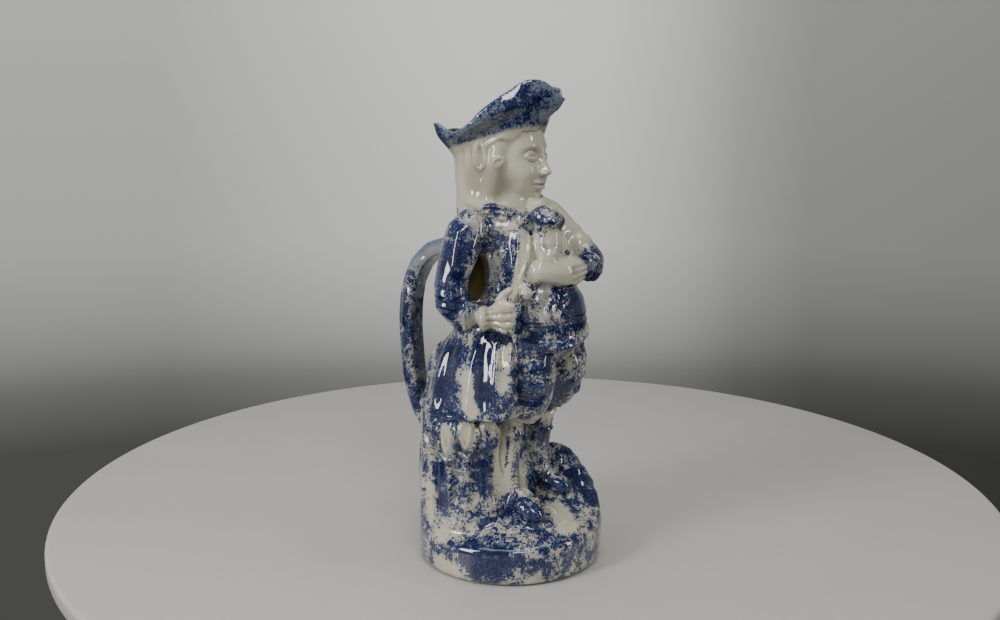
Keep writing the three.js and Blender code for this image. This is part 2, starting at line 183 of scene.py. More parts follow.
def to_path(found, path):
    """How far each point is from a path, and how far along it the nearest place is, from 0 to 1."""
    if len(path) == 1:
        return np.linalg.norm(found - path[0], axis=1), np.zeros(len(found))
    lengths = np.linalg.norm(np.diff(path, axis=0), axis=1)
    whole, gone = lengths.sum(), 0.0
    best, along = np.full(len(found), np.inf), np.zeros(len(found))
    for start, step, length in zip(path, np.diff(path, axis=0), lengths):
        share = np.clip((found - start) @ step / max(length * length, 1e-12), 0, 1)
        away = np.linalg.norm(found - start - share[:, None] * step, axis=1)
        near = away < best
        best[near], along[near] = away[near], (gone + share[near] * length) / whole
        gone += length
    return best, along


def curved(path, pieces=6):
    """A smooth curve through the points of a path."""
    if len(path) < 3:
        return path
    padded = np.vstack([2 * path[0] - path[1], path, 2 * path[-1] - path[-2]])
    found = []
    for i in range(1, len(padded) - 2):
        a, b, c, d = padded[i - 1:i + 3]
        for t in np.arange(pieces) / pieces:
            found.append(0.5 * (2 * b + (c - a) * t + (2 * a - 5 * b + 4 * c - d) * t * t
                                + (3 * b - a - 3 * c + d) * t ** 3))
    return np.vstack(found + [path[-1]])


def only(obj):
    """Selects one object alone and makes it active."""
    bpy.ops.object.select_all(action="DESELECT")
    obj.select_set(True)
    bpy.context.view_layer.objects.active = obj
    return obj


def applied(obj, kind, **settings):
    """Adds a modifier, sets it and applies it."""
    only(obj)
    bpy.ops.object.modifier_add(type=kind)
    modifier = obj.modifiers[-1]
    for name, value in settings.items():
        setattr(modifier, name, value)
    bpy.ops.object.modifier_apply(modifier=modifier.name)
    return obj


# ---------------------------------------------------------------- clay


def clay_copy():
    """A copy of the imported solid, with its loose triangles welded."""
    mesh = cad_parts[NODE].data.copy()
    jug = bpy.data.objects.new(PIECE, mesh)
    bpy.context.scene.collection.objects.link(jug)
    mesh.name = PIECE
    mesh.materials.clear()
    only(jug)
    bpy.ops.object.mode_set(mode="EDIT")
    bpy.ops.mesh.select_all(action="SELECT")
    bpy.ops.mesh.remove_doubles(threshold=0.002 * MM)
    bpy.ops.object.mode_set(mode="OBJECT")
    return jug


def soften(jug, reach):
    """Rounds the facets away. No point moves further than about the reach, so edges and thin rims stay."""
    mesh = jug.data
    before, pairs = places(mesh), neighbours(mesh)
    moved = relaxed(before, pairs, SOFTENING_ROUNDS) - before
    far = np.maximum(np.linalg.norm(moved, axis=1), 1e-9)
    limit = reach * softness(before)
    moved *= (limit * np.tanh(far / limit) / far)[:, None]
    put_places(mesh, relaxed(before + moved, pairs, SETTLING_ROUNDS))


# places where the carving is fine, or where flat facets belong: centre and reach, in millimetres
FINE = (
    ((0, -22, 238), 18), ((-36, -20, 160), 15), ((0, -38, 180), 17), ((-11, -30, 196), 16),
    ((-22, -26, 30), 16), ((12, -28, 32), 16), ((-40, 0, 82), 16), ((0, -22, 208), 14),
    ((0, 76, 140), 36), ((0, 64, 182), 22), ((0, 70, 95), 26), ((-28, 26, 262), 12), ((28, 26, 262), 12),
)


def softness(found):
    """Share of the softening at each place."""
    share = np.ones(len(found))
    for centre, reach in FINE:
        away = np.linalg.norm(found - points(centre), axis=1) / (reach * MM)
        share = np.minimum(share, 0.35 + 0.65 * np.clip(away * 2 - 1, 0, 1))
    return share


# ---------------------------------------------------------------- face


FACE_MIDDLE = 237  # height of the middle of the face; its depths below are in front of an even oval
EYE, MOUTH = 3.4, -12.8  # heights of the eyes and of the line between the lips, from the middle of the face


def hump(value, middle, spread):
    return np.exp(-((value - middle) / spread) ** 2)


def rising(value, low, high):
    share = np.clip((value - low) / (high - low), 0, 1)
    return share * share * (3 - 2 * share)


def oval(across, up):
    """How far forward the plain oval of the face is."""
    narrow = 1 - 0.2 * rising(-up, 8, 26)
    return 19.5 * np.sqrt(np.clip(1 - (across / (20 * narrow)) ** 2 - np.abs(up / 27) ** 3.2, 0, 1))


def face_depth(across, up):
    """The relief of a calm, even face over its oval, in millimetres across and up from its middle."""
    wide = np.abs(across)
    side = wide - 7.8
    brow = 1.5 * hump(up, 8.6 - 0.03 * (wide - 8) ** 2, 2.3) * hump(wide, 7, 6.5)
    socket = -3.3 * hump(wide, 7.4, 4.9) * hump(up, 3.9, 4.3) - 0.9 * hump(wide, 4, 1.8) * hump(up, 4.6, 3)
    ball = 2.4 * np.sqrt(np.clip(1 - (side / 4.9) ** 2 - ((up - EYE) / 3.1) ** 2, 0, 1))
    arch = np.clip(1 - (side / 4.6) ** 2, 0, 1)
    lids = 0.5 * hump(up, EYE + 1.4 * arch, 0.6) * rising(arch, 0, 0.35)
    lids += 0.35 * hump(up, EYE - 1.5 * arch, 0.55) * rising(arch, 0, 0.35)
    lids -= 0.2 * hump(up, EYE + 0.6 + 3.2 * arch, 0.6) * rising(arch, 0, 0.5)
    run = rising(-up, -8, 5.5)
    ridge = (0.7 + 3.5 * run) * hump(across, 0, 2 + 1.1 * run) * rising(up, -9, -6.5)
    ridge += 1.5 * hump(np.hypot(across, up + 5.4), 0, 2.6)
    wings = 2.1 * hump(wide, 3, 1.4) * hump(up, -6.2, 1.5)
    nostrils = -1.1 * hump(wide, 1.9, 0.75) * hump(up, -8.1, 0.7)
    cheeks = 1.7 * hump(up, -5, 6) * hump(wide, 11, 5.5)
    groove = -0.5 * hump(across, 0, 0.8) * hump(up, -10, 1.1)
    bow = 0.35 * hump(wide, 1.4, 1.3) - 0.25 * hump(across, 0, 0.8)
    mouth = 1.7 * hump(up, MOUTH + 1.35 + bow, 1.1) * hump(across, 0, 4.9)
    mouth += 1.9 * hump(up, MOUTH - 1.6, 1.25) * hump(across, 0, 4.2)
    mouth -= 1.25 * hump(up, MOUTH + 0.02 * across ** 2 * 0.4, 0.5) * rising(7.4 - wide, 0, 1.6)
    mouth += 1.1 * hump(up, MOUTH, 4) * hump(across, 0, 6)
    chin = 2.5 * hump(up, -21, 3.6) * hump(across, 0, 5.4) - 0.9 * hump(up, -16.9, 1.2) * hump(across, 0, 4.5)
    return (brow + socket + ball + lids + ridge + wings + nostrils + cheeks + groove + mouth + chin)


def model_face(jug):
    """Works the front of the head up finely and gives it its features."""
    only(jug)
    bpy.ops.object.mode_set(mode="EDIT")
    bpy.ops.mesh.select_mode(type="FACE")
    bpy.ops.mesh.select_all(action="DESELECT")
    bpy.ops.object.mode_set(mode="OBJECT")
    mesh = jug.data
    for reach in (0.97, 0.86):
        middles = np.empty(len(mesh.polygons) * 3, np.float32)
        mesh.polygons.foreach_get("center", middles)
        facing = np.empty(len(mesh.polygons) * 3, np.float32)
        mesh.polygons.foreach_get("normal", facing)
        chosen, *_ = on_face(middles.reshape(-1, 3), facing.reshape(-1, 3), reach)
        mesh.polygons.foreach_set("select", chosen)
        bpy.ops.object.mode_set(mode="EDIT")
        bpy.ops.mesh.subdivide(number_cuts=1)
        bpy.ops.mesh.select_all(action="DESELECT")
        bpy.ops.object.mode_set(mode="OBJECT")
    found = places(mesh)
    chosen, across, up, reach = on_face(found, outward(mesh), 1)
    cover = rising(-reach, -0.98, -0.80) * chosen
    aim = (-1 - oval(across, up) - face_depth(across, up)) * MM
    found[:, 1] += (aim - found[:, 1]) * cover
    put_places(mesh, found)


def on_face(found, facing, most):
    """Which places are on the face, with how far across, up and out from its middle they are."""
    across, up = found[:, 0] / MM, found[:, 2] / MM - FACE_MIDDLE
    reach = np.hypot(across / 20, (up - 1) / 25)
    ahead = -1 - oval(across, up) - found[:, 1] / MM
    chosen = (reach < most) & (facing[:, 1] < -0.02) & (ahead > -6.5) & (ahead < 9.5)
    chosen &= (up < 17.5) & ((up > -19) | (ahead < 3))
    return chosen, across, up, reach


# ---------------------------------------------------------------- carving


MIDDLE = 10  # how far behind the origin the figure's axis stands, in millimetres
HEM = 94  # height of the coat's hem
LAPPETS = ((160, 19), (181, 25), (199, 22), (219, 20))  # degrees round the stump, and length


def spot(degrees, height, reach=46):
    """A place at an angle from the face, towards his right hand, at a height and a reach from the axis."""
    turn = math.radians(degrees)
    return (-reach * math.sin(turn), MIDDLE - reach * math.cos(turn), height)


def line(height, width, *path):
    """A raised line, or a cut one where the height is negative, and its half width, in millimetres."""
    return height, width, path


def both(rows):
    """The same lines on his left side as well."""
    return rows + [(height, width, tuple((-x, y, z) for x, y, z in path)) for height, width, path in rows]


def coat_skirt_lines():
    """Folds that fan out from the waist to the hem, and the bound edge of the hem."""
    rows = []
    for fold in range(SKIRT_FOLDS):
        angle = SKIRT_START + SKIRT_STEP * fold
        if abs(angle - 180) > 14:
            lean = 4 * math.cos(math.radians(angle))
            height = (0.7, -0.7)[fold % 2] * (1 - 0.25 * math.sin(2.1 * fold))
            rows.append(line(height, 2.6, spot(angle - lean, 139, 42), spot(angle, 116),
                             spot(angle + 1, 96, 48)))
    rows += [line(1.1, 1.1, *(spot(angle, HEM + 0.5, 48) for angle in range(start, start + 109, 12)))
             for start in (58, 194)]
    return rows


def lappet_lines():
    """A raised rim and a folded middle on every lappet, and the flutes that run down the rock from it."""
    rows = []
    for degrees, length in LAPPETS:
        turn = math.radians(degrees)
        across = np.array((-math.sin(turn), math.cos(turn)))
        middle = np.array((45 * math.cos(turn), 16 + 34 * math.sin(turn)))
        foot = HEM + 1 - 1.1 * length

        def at(side, height):
            return (*(middle + across * side), height)

        rim = [at(-6.2 * math.cos(t), HEM - 2 - (HEM - 2 - foot) * math.sin(t) ** 0.6)
               for t in np.linspace(0.05, math.pi - 0.05, 11)]
        rows.append(line(1.9, 0.9, *rim))
        rows.append(line(1.1, 0.85, at(-2.2, HEM - 4), at(-2.6, HEM - 12), at(0, foot + 5)))
        rows.append(line(1.1, 0.85, at(2.6, HEM - 4), at(2.2, HEM - 11), at(0, foot + 5)))
        rows.append(line(1.2, 1.2, at(0, foot), at(1.2, foot - 12), at(0.4, 44)))
        rows.append(line(-1.1, 1.5, at(4.5, foot + 1), at(3.6, foot - 12), at(4.6, 42)))
    return both(rows)


def rock_lines():
    """Broken upright grooves round the stump and the strokes on the boulder."""
    rows = []
    for groove in range(24):
        angle = 72 + 9.4 * groove
        top, low = 80 - 9 * (groove % 3), 28 + 7 * (groove % 4)
        wave = 3 * math.sin(1.7 * groove)
        rows.append(line((-1, 1.1)[groove % 2], 1.5, spot(angle, top), spot(angle + wave, (top + low) / 2),
                         spot(angle - wave / 2, low)))
    for stroke in range(9):
        level = 57 - 3.6 * stroke
        spread = 10 + 2.2 * stroke
        rows.append(line((-0.45, 0.4)[stroke % 2], 1.2, (37 - spread, -19 - 1.5 * stroke, level + 3),
                         (35, -24 - 2.2 * stroke, level), (44, -20 - 1.6 * stroke, level - 5)))
    rows.append(line(1.5, 1.5, (-19, -17, 48), (-16, -26, 42), (-6, -29, 36), (-7, -36, 33)))
    rows.append(line(1.1, 1.6, (-21, -38, 29), (-12, -42, 29), (2, -43, 31)))
    return rows


def sleeve_lines():
    """Creases round both elbows and a long soft fold down the upper arm."""
    rows = []
    for crease in range(6):
        height = 169 - 3.2 * crease
        rows.append(line((-0.4, 0.35)[crease % 2], 1.9, (-53, 17, height), (-56, 7, height - 1.5),
                         (-46, 3, height + 1)))
    rows.append(line(0.8, 2, (-46, 6, 204), (-52, 6, 190), (-53, 5, 175)))
    rows.append(line(-0.8, 1, (-35, 2, 210), (-37, -2, 202), (-37, -2, 192)))
    for crease in range(5):
        forward = -16 - 4 * crease
        rows.append(line((-0.4, 0.3)[crease % 2], 1.6, (46, forward, 186 - crease),
                         (40, forward - 2, 196 - 2 * crease), (30, forward, 194 - 2 * crease)))
    rows.append(line(0.7, 2, (33, -4, 212), (40, -10, 205), (44, -18, 196)))
    return rows


def hand_lines():
    """The gaps between fingers, the turned edges of the cuffs and the gathers of the frills."""
    rows = []
    for gap in range(3):
        rows.append(line(-1.3, 0.8, (-47, -12, 156 - 4.4 * gap), (-44, -17, 156 - 4.4 * gap),
                         (-38, -23, 156 - 4.4 * gap)))
    for gather in range(9):
        height = 144 + 2.2 * gather
        rows.append(line(-0.7, 0.7, (-52, -3, height), (-47, -8, height)))
    for ring, width in ((1.5, 1), (-1.5, -0.8)):
        rows.append(line(width, 0.9, *((-45 - 10 * math.sin(t), -2 + ring, 152 + 10 * math.cos(t))
                                       for t in np.linspace(0, math.pi, 7))))
        rows.append(line(width, 0.9, *((18 + ring, -41 - 10 * math.sin(t), 176.5 + 10 * math.cos(t))
                                       for t in np.linspace(0, math.pi, 7))))
    for fold in range(3):
        rows.append(line(-0.8, 0.8, (10, -46, 181 - 4 * fold), (0, -49, 180.5 - 4 * fold),
                         (-10, -44, 179 - 4 * fold)))
    return rows


def chest_lines():
    """The collar's stripes, the coat's facing, the hanging fold, the filled gap by the mug and the ruffle."""
    rows = []
    for stripe in range(3):
        rows.append(line(1.4, 0.85, (-28, 5, 212 - 3 * stripe), (-26, -4, 213 - 3.3 * stripe),
                         (-22, -11, 211.5 - 3 * stripe)))
    rows.append(line(1.1, 0.85, (-23, -18, 200), (-28, -20, 184), (-35, -19, 171)))
    rows.append(line(1.1, 0.85, (-17, -21, 199), (-24, -24, 184), (-29, -21, 170)))
    rows = both(rows)
    rows += [
        line(2.3, 2, (-29, -2, 187), (-29, -4, 176), (-29, -1, 165)),
        line(-1.1, 1.3, (-28, -8, 188), (-28, -9, 178), (-28, -7, 167)),
        line(2, 2, (-26, -11, 190), (-26, -13, 179), (-27, -10, 169)),
        line(3, 3.2, (-13, -16, 207), (-12, -19, 201), (-12, -20, 195)),
    ]
    for wave in range(5):
        start = -26 + 4.4 * wave
        swing = 1.8 * (-1) ** wave
        rows.append(line((1.7, -1.3)[wave % 2], 1.3, (start, -34, 168), (start - 2 + swing, -40, 162),
                         (start - 3 - swing, -42, 155), (start - 3 + swing, -44, 149)))
    rows.append(line(-0.9, 1.3, (-38, -24, 147), (-26, -33, 146), (-12, -46, 149), (4, -48, 150),
                     (24, -34, 150)))
    return rows


def breeches_lines():
    """Creases across the thighs, the facing's lower end and the garters below the knees."""
    rows = []
    for crease in range(6):
        height = 134 - 6 * crease
        rows.append(line((-0.75, 0.65)[crease % 2], 1.1, (-37, -22, height), (-29, -29, height - 5),
                         (-20, -37, height - 3)))
        rows.append(line((-0.7, 0.65)[crease % 2], 1.1, (4, -40, height - 8), (16, -44, height - 6),
                         (28, -38, height - 1)))
    rows.append(line(1.2, 0.9, (-33, -11, 138), (-38, -13, 124), (-41, -14, 110), (-42, -18, 99)))
    rows.append(line(1.2, 0.9, (-34, -20, 139), (-37, -22, 123), (-38, -22, 108), (-42, -20, 99)))
    for height in (91, 80):
        rows.append(line(1.1, 0.95, (-25, -13, height), (-17, -24, height), (-6, -16, height)))
        rows.append(line(1.1, 0.95, (3, -20, height - 3), (11, -29, height - 3), (20, -20, height - 3)))
    rows.append(line(-0.7, 0.9, (-25, -8, 79), (-25, -7, 66), (-24, -9, 55)))
    rows.append(line(-0.8, 0.8, (-30, -11, 32), (-32, -20, 30), (-28, -30, 29), (-22, -35, 29)))
    rows.append(line(0.8, 0.9, (-27, -12, 40), (-27, -19, 41), (-20, -24, 42)))
    return rows


def hair_lines():
    """A ringlet and a curl at each temple, and strands that fall to the collar at the sides and back."""
    ringlet = [(-26, 6 + 3.2 * math.sin(t), 240.5 + 7.5 * math.cos(t))
               for t in np.linspace(0, 2 * math.pi, 11)]
    curl = [(-22, -5 + (0.6 + 0.32 * t) * math.sin(t), 237 + (0.6 + 0.32 * t) * math.cos(t))
            for t in np.linspace(0, 3 * math.pi, 14)]
    rows = [line(1.4, 1.2, *ringlet), line(1.2, 0.9, *curl),
            line(1.2, 1.2, (-24, 3, 246), (-23, -2, 249), (-22, -7, 251), (-19, -10, 249))]
    for strand in range(4):
        back = 12 + 6 * strand
        rows.append(line(-0.45, 1.3, (-25, back, 246), (-25, back + 1, 232), (-24, back - 2, 216)))
    for angle in range(112, 177, 16):
        rows.append(line(-0.6, 1.6, spot(angle, 238, 26), spot(angle + 3, 228, 26), spot(angle - 2, 215, 26)))
    return both(rows)


def handle_lines():
    """Hand-pressed dips along the strap and the soft arris between its flats."""
    rows = [line(-0.9, 3.2, (side * 9, y, z)) for side in (-1, 1)
            for y, z in ((56, 181), (67, 160), (71, 134), (69, 108), (66, 90))]
    return rows + both([line(0.9, 1.5, (-5, 50, 191), (-5, 66, 177), (-5, 75, 160), (-5, 77.5, 140),
                             (-5, 77, 120), (-5, 75, 104), (-5, 71, 88))])


def hat_lines():
    """The roll under the rim of each upturned flap, and its fold over the seat."""
    return both([line(1.5, 5, spot(26, 272, 33), spot(54, 266, 33.5), spot(80, 258, 34.5)),
                 line(-0.8, 4, spot(40, 259, 31), spot(62, 256, 30), spot(84, 252, 29))])


def carving():
    """Every line of the carving."""
    forms = (hat_lines, coat_skirt_lines, lappet_lines, rock_lines, sleeve_lines, hand_lines, chest_lines,
             breeches_lines, hair_lines, handle_lines)
    return [row for form in forms for row in form()]


def carve(jug, share):
    """Raises or cuts every line of carving on the clay."""
    mesh = jug.data
    mesh.update()
    found, normal = places(mesh), outward(mesh)
    lift = np.zeros(len(found))
    for height, width, path in carving():
        course = curved(points(path))
        course = np.array([jug.closest_point_on_mesh(Vector(p))[1] for p in course])
        low, high = course.min(0) - 3 * width * MM, course.max(0) + 3 * width * MM
        near = np.nonzero(((found > low) & (found < high)).all(1))[0]
        away, along = to_path(found[near], course)
        fade = np.clip(np.minimum(along, 1 - along) * 6 + 0.25, 0, 1) if len(course) > 1 else 1
        lift[near] += height * MM * fade * np.exp(-(away / (width * MM)) ** 2)
    put_places(mesh, found + normal * (lift * share)[:, None])


# ---------------------------------------------------------------- glaze


# what the sponge leaves bare or loads: cobalt from 0 to 1, reach in millimetres, then the places it follows
DABS = (
    ("both sleeves", 0.95, 11, ((-48, 4, 198), (-53, 8, 184), (-54, 8, 168), (-54, 6, 158))),
    ("inside of the sleeve", 0.6, 5, ((-43, -1, 198), (-46, 0, 188))),
    ("shoulder", 0.42, 8, ((-39, 9, 211), (-39, 2, 208))),
    ("collar", 0.72, 4, ((-27, -1, 213), (-23, -9, 210))),
    ("cuff", 0.36, 7, ((-53, -1, 152),)),
    ("chest", 0.62, 9, ((-26, -8, 203), (-29, -7, 192))),
    # paler glaze on the hanging fold: partly thin cobalt, partly a painted highlight
    ("light fold", 0.45, 5, ((-29, -4, 182), (-28, -3, 170))),
    ("dark fold", 0.9, 4.5, ((-25, -13, 188), (-25, -13, 176))),
    ("facing", 0.0, 3.6, ((-21, -21, 199), (-27, -22, 183), (-29, -20, 169))),
    ("crook of the arm", 0.0, 8, ((-27, 6, 182), (-27, 6, 166))),
    ("right hand", 0.0, 8.5, ((-47, -9, 151), (-42, -18, 154), (-40, -18, 166), (-31, -25, 166))),
    ("mug", 0.16, 10, ((-13, -37, 197), (-13, -37, 188))),
    ("foam", 0.64, 9, ((-16, -28, 208), (-19, -36, 207), (-11, -40, 207))),
    ("lower edge of the foam", 1.0, 5, ((-12, -41, 202), (-4, -38, 203))),
    ("left hand", 0.0, 9, ((-17, -33, 181), (-12, -42, 178), (-3, -45, 178))),
    ("left upper arm", 0.02, 13, ((31, -8, 208), (36, -20, 199), (33, -29, 192))),
    ("left elbow", 0.6, 8, ((38, -40, 182), (24, -46, 178), (13, -47, 177))),
    ("lower edge of the elbow", 1.0, 5, ((36, -36, 171), (24, -44, 169), (11, -47, 171))),
    ("between the facing and the mug", 0.0, 7, ((-20, -23, 195), (-20, -26, 184), (-22, -30, 176))),
    ("behind the mug", 0.0, 8, ((27, -21, 196), (20, -25, 190), (22, -27, 185))),
    ("ruffle", 0.36, 9, ((-20, -34, 167), (-24, -38, 154))),
    ("near the fist", 0.62, 6, ((-35, -25, 163), (-31, -27, 148))),
    ("front of the belly", 1.1, 16, ((-9, -45, 164), (-3, -48, 156), (6, -46, 150))),
    ("under the left hand", 0.0, 5.5, ((-20, -36, 173), (-9, -45, 173), (1, -47, 173))),
    ("left edge of the belly", 0.3, 4.5, ((10, -46, 160), (11, -46, 150), (10, -46, 140))),
    ("waistcoat's hem", 0.25, 3.5, ((-38, -24, 141), (-23, -35, 139))),
    ("right thigh", 0.8, 14, ((-26, -30, 133), (-26, -30, 110))),
    ("left thigh", 0.5, 12, ((4, -42, 134), (14, -40, 116))),
    ("under the left thigh", 0.9, 8, ((10, -38, 105), (4, -33, 102))),
    ("skirt, behind", 1.05, 12, ((-35, 24, 130), (-41, 22, 113), (-43, 20, 100))),
    ("skirt, in front", 1.05, 10, ((-36, -1, 134), (-41, -7, 120), (-43, -9, 107))),
    ("tongue of bare glaze", 0.02, 6, ((-44, 4, 117), (-47, 3, 106), (-47, -2, 99))),
    ("facing over the skirt", 0.16, 5, ((-38, -21, 150), (-35, -16, 133), (-39, -17, 115))),
    ("foot of the facing", 1.0, 5, ((-42, -18, 103),)),
    ("band under the hem", 0.0, 3.4, ((-45, 6, 89), (-40, -4, 89), (-30, -9, 88))),
    ("right knee", 0.0, 5, ((-22, -15, 90), (-18, -26, 91), (-8, -18, 89))),
    ("left knee", 0.1, 5, ((3, -22, 86), (12, -28, 87))),
    ("below the left knee", 0.95, 6, ((4, -18, 74), (12, -24, 75))),
    ("first lappet", 0.12, 5, ((-47, 15, 86), (-47, 15, 76))),
    ("second lappet", 0.1, 5, ((-44, 3, 86), (-44, 4, 79))),
    ("third lappet", 0.55, 5, ((-37, -7, 85),)),
    ("right leg", 0.08, 7, ((-24, -9, 81), (-25, -9, 52))),
    # painted shade: a dark streak down the leg where it is shaded beside the rock
    ("streak down the leg", 0.9, 1.8, ((-24, -12, 79), (-24, -11, 63))),
    ("between the legs", 0.0, 5, ((-12, -10, 74), (-8, -13, 46))),
    ("left leg", 0.55, 7, ((4, -18, 66), (6, -20, 50))),
    ("left shoe", 0.85, 9, ((8, -20, 46), (11, -33, 46))),
    ("right shoe", 0.92, 10, ((-24, -12, 38), (-26, -32, 36))),
    ("bare ground", 0.0, 9, ((-2, -34, 34), (-12, -44, 29))),
    ("boulder", 0.88, 13, ((33, -24, 54), (24, -43, 36))),
    ("bare foot of the base", 0.0, 9, ((-53, 17, 6), (-54, 8, 4))),
    ("pale patch on the base", 0.28, 8, ((-47, 17, 25), (-45, 2, 32))),
    ("dark patches on the base", 1.0, 8, ((-51, -22, 17), (-54, -8, 13), (-52, -2, 21))),
    ("rock behind", 0.95, 6, ((-45, 22, 62), (-46, 20, 43))),
    ("rock in front", 0.95, 6, ((-37, -1, 62), (-36, -4, 50))),
    ("strip down the back", 0.3, 4, ((-45, 29, 59), (-46, 29, 29))),
    ("foot of the strip", 0.95, 4, ((-50, 24, 16),)),
    ("top of the handle", 0.12, 10, ((-4, 44, 189), (-6, 62, 178))),
    ("dabs down the handle", 0.9, 6, ((-8, 72, 154), (-8, 74, 142))),
    ("dabs down the handle", 0.85, 5, ((-8, 72, 129), (-8, 72, 119))),
    ("dabs down the handle", 0.9, 8, ((-8, 72, 102), (-8, 66, 84))),
    ("right side of the handle", 0.85, 6, ((8, 68, 164), (8, 73, 136))),
    ("left flank of the skirt", 0.9, 13, ((38, 10, 130), (43, 4, 106))),
    ("left lappets", 0.12, 5, ((47, 15, 84), (44, 3, 82))),
    ("left rock", 0.92, 9, ((44, 22, 62), (45, 20, 40))),
    ("middle of the back", 0.9, 13, ((-14, 31, 196), (12, 30, 178), (-16, 28, 166))),
    ("left sleeve", 0.6, 7, ((36, 2, 205),)),
)


HAT_DABS = (
    ("crown of the near flap", 0.75, 9, ((-16, -26, 276), (-26, -14, 270))),
    ("paler band", 0.35, 6, ((-30, -6, 262), (-31, 8, 256))),
    ("rear corner", 0.95, 9, ((-26, 34, 250), (-30, 38, 256))),
    ("front corner", 0.6, 7, ((-4, -34, 268),)),
)
# thin blue wash without dabs: amount, reach in millimetres, then the places it follows; on the handle's top
# it is partly painted shade, on the hanging fold partly a painted highlight
MISTS = (
    # blue wash on the handle's top, darkened further as painted shade
    ("top of the handle", 0.95, 13, ((0, 40, 187), (0, 54, 185), (0, 64, 174))),
    ("handle", 0.8, 12, ((0, 70, 158), (0, 72, 130), (0, 68, 96))),
    ("sleeve", 0.75, 12, ((-47, 5, 200), (-54, 8, 172), (-53, 2, 160))),
    # wash on the hanging fold: partly thin cobalt, partly a painted highlight
    ("lighter fold", 0.6, 5, ((-29, -4, 182), (-28, -3, 170))),
    ("boulder", 0.7, 16, ((33, -24, 54), (26, -40, 42))),
    ("left elbow", 0.85, 10, ((38, -36, 182), (24, -46, 177), (13, -47, 176))),
    ("ruffle", 0.45, 9, ((-20, -34, 167), (-24, -38, 154))),
)
# painted shade laid where shade falls: in the crook of the arm, behind and beside the mug, below the temple
# and between the legs; amount, reach in millimetres, then the places it follows
PAINTED_SHADES = (
    ("crook of the arm", 1.0, 11, ((-29, 7, 184), (-29, 7, 164))),
    ("behind the mug", 0.9, 5, ((2, -24, 200), (4, -28, 190))),
    ("beside the mug", 0.1, 8, ((-12, -18, 203), (-12, -20, 196))),
    ("below the temple", 0.4, 13, ((-25, 8, 228), (-22, -2, 226))),
    ("between the legs", 0.4, 4, ((-13, -10, 80), (-12, -12, 60))),
)


HAT_SEAT, HAT_TILT, HEAD_BACK = 249, 0.27, 8  # the hat's seat: its height, its slope and its middle
# the hollow: height, middle and half sizes across and front to back, in millimetres
BORE = ((9, 8, 36, 36), (30, 14, 39.5, 29), (60, 20, 38.5, 24), (110, 19.5, 34.5, 22.5), (129, 4, 28.5, 29.5),
        (145, -3, 24, 30), (165, -1, 20, 25), (188, 2, 20, 19.5), (212, 8, 17, 16.5), (246, 9, 19, 20.5),
        (262, 8, 24, 26))


def hat_seat(found):
    """The height of the hat's seat at each place."""
    return HAT_SEAT + HAT_TILT * (HEAD_BACK - found[:, 1] / MM)


def under_hat(found):
    return (found[:, 2] / MM > 213) & (found[:, 2] / MM < hat_seat(found))


def in_bore(found):
    """1 inside the jug, where the glaze is bare, and 0 outside."""
    levels = np.array(BORE, float).T
    x, y, z = found.T / MM
    middle, wide, deep = (np.interp(z, levels[0], row) for row in levels[1:])
    off = np.hypot(x / (wide + 1.6), (y - middle) / (deep + 1.6))
    return ((off < 1) & (z > 7) & (z < 264)).astype(float)


def dab(field, found, value, reach, path):
    away, _ = to_path(found, points(path))
    cover = np.clip(2 - 2 * away / (reach * MM), 0, 1)
    field += (value - field) * cover


def sponge(jug):
    """Lays on the cobalt, the misty wash (on the handle's top partly a painted shade, on the hanging fold
    partly a painted highlight) and a painted shade that darkens the hollows and recesses, as values at each
    vertex.
    """
    mesh = jug.data
    found, pairs = places(mesh), neighbours(mesh)
    height = found[:, 2] / MM
    brim = np.clip((height - hat_seat(found)) / 1.5, 0, 1)
    bare = 1 - in_bore(found)
    blue = np.interp(height, (0, 8, 60, 90, 200, 209, 213), (0.5, 0.66, 0.64, 0.66, 0.66, 0.5, 0.0))
    blue[under_hat(found)] = 0.0
    for _, value, reach, path in DABS:
        dab(blue, found, value, reach, path)
    blue += (0.6 - blue) * brim
    for _, value, reach, path in HAT_DABS:
        dab(blue, found, value, reach, path)
    write(mesh, COBALT, blue * bare)
    mist = 0.9 * brim
    for _, value, reach, path in MISTS:
        dab(mist, found, value, reach, path)
    write(mesh, MIST, mist * bare)
    # painted shade: a darker, browner colour where the surface is hollow, and in the listed recesses
    bend = ((relaxed(found, pairs, HOLLOW_ROUNDS) - found) * outward(mesh)).sum(1) / MM
    shade_amount = 0.6 * rising(bend, 0.02, 0.5)
    for _, value, reach, path in PAINTED_SHADES:
        dab(shade_amount, found, value, reach, path)
    write(mesh, PAINTED_SHADE, shade_amount)


def write(mesh, name, values):
    layer = mesh.attributes.new(name, "FLOAT", "POINT")
    layer.data.foreach_set("value", values.astype(np.float32))


